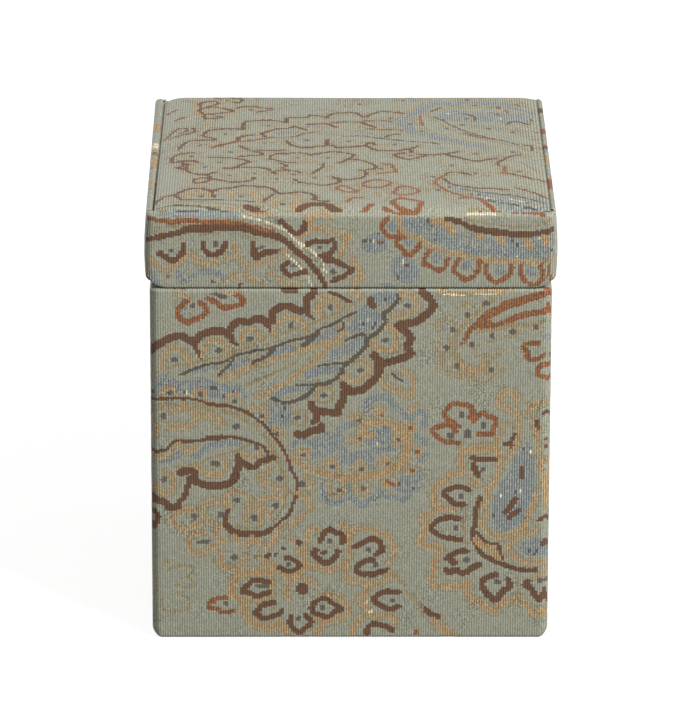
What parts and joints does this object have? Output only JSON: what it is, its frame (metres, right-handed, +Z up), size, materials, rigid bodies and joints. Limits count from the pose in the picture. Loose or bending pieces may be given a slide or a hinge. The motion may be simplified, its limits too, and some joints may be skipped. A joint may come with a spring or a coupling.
{
  "type": "brocade keepsake box",
  "caption": "Cube-shaped keepsake box covered in ribbed paisley brocade, satin-lined, with a shallow padded lid on a cloth hinge.",
  "frame": {"origin": "centre of the underside, in the plane that the box stands on", "axes": "+Z up; the front of the box faces -Y; +X is to the right seen from the front; the lid's hinge is at the back, along X"},
  "size_m": [0.1302, 0.1276, 0.1454],
  "materials": {
    "brocade": "ribbed jacquard brocade with a woven paisley in brown, rust, gold and slate blue on sage",
    "satin": "champagne gold satin over card and wadding",
    "greyboard": "raw bookbinder's board",
    "wadding": "soft polyester wadding",
    "foot_paper": "dark textured covering paper over card"
  },
  "bodies": {
    "base": {"base_front_board": "greyboard", "base_back_board": "greyboard", "base_left_board": "greyboard", "base_right_board": "greyboard", "base_bottom_board": "greyboard", "base_wrap_cloth": "brocade", "base_foot_panel": "foot_paper", "base_front_lining": "satin", "base_back_lining": "satin", "base_left_lining": "satin", "base_right_lining": "satin", "base_floor_pad": "satin", "hinge_cloth": "brocade", "hinge_lining": "satin"},
    "lid": {"lid_front_board": "greyboard", "lid_back_board": "greyboard", "lid_left_board": "greyboard", "lid_right_board": "greyboard", "lid_top_board": "greyboard", "lid_top_wadding": "wadding", "lid_wrap_cloth": "brocade", "lid_left_end_card": "greyboard", "lid_right_end_card": "greyboard", "lid_left_end_wadding": "wadding", "lid_right_end_wadding": "wadding", "lid_left_end_cloth": "brocade", "lid_right_end_cloth": "brocade", "lid_front_lining": "satin", "lid_back_lining": "satin", "lid_left_lining": "satin", "lid_right_lining": "satin", "lid_ceiling_pad": "satin"}
  },
  "joints": [
    {"name": "lid_hinge", "type": "hinge", "parent": "base", "child": "lid", "pos_m": [0, 0.0638, 0.11865], "axis": [-1, 0, 0], "range_deg": [0, 105], "deforming": ["hinge_cloth", "hinge_lining"]}
  ]
}
